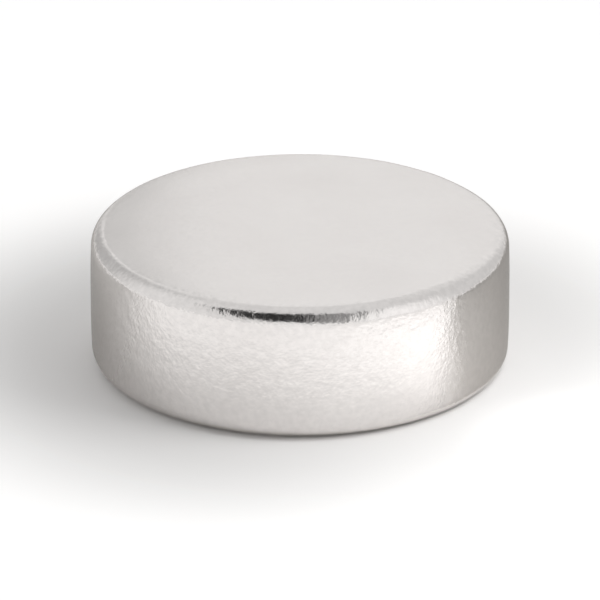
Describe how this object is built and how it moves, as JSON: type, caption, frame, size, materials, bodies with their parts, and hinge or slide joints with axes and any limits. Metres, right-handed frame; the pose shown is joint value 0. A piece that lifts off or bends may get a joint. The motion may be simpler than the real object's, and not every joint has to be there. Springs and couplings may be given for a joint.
{
  "type": "disc magnet",
  "caption": "Flat round permanent magnet: a solid plated disc with straight rim, two flat faces and tumbled round edges, magnetised through its thickness.",
  "frame": {"origin": "centre of the lower face, on the surface that the disc lies on", "axes": "+Z along the disc's axis, which is its direction of magnetisation, from the lower face to the upper one; X and Y are any two directions across the faces"},
  "size_m": [0.015, 0.015, 0.005],
  "materials": {
    "nickel_plating": "satin electroplated nickel over a tumbled, sintered body"
  },
  "bodies": {
    "root": {"magnet_disc": "nickel_plating"}
  },
  "joints": []
}
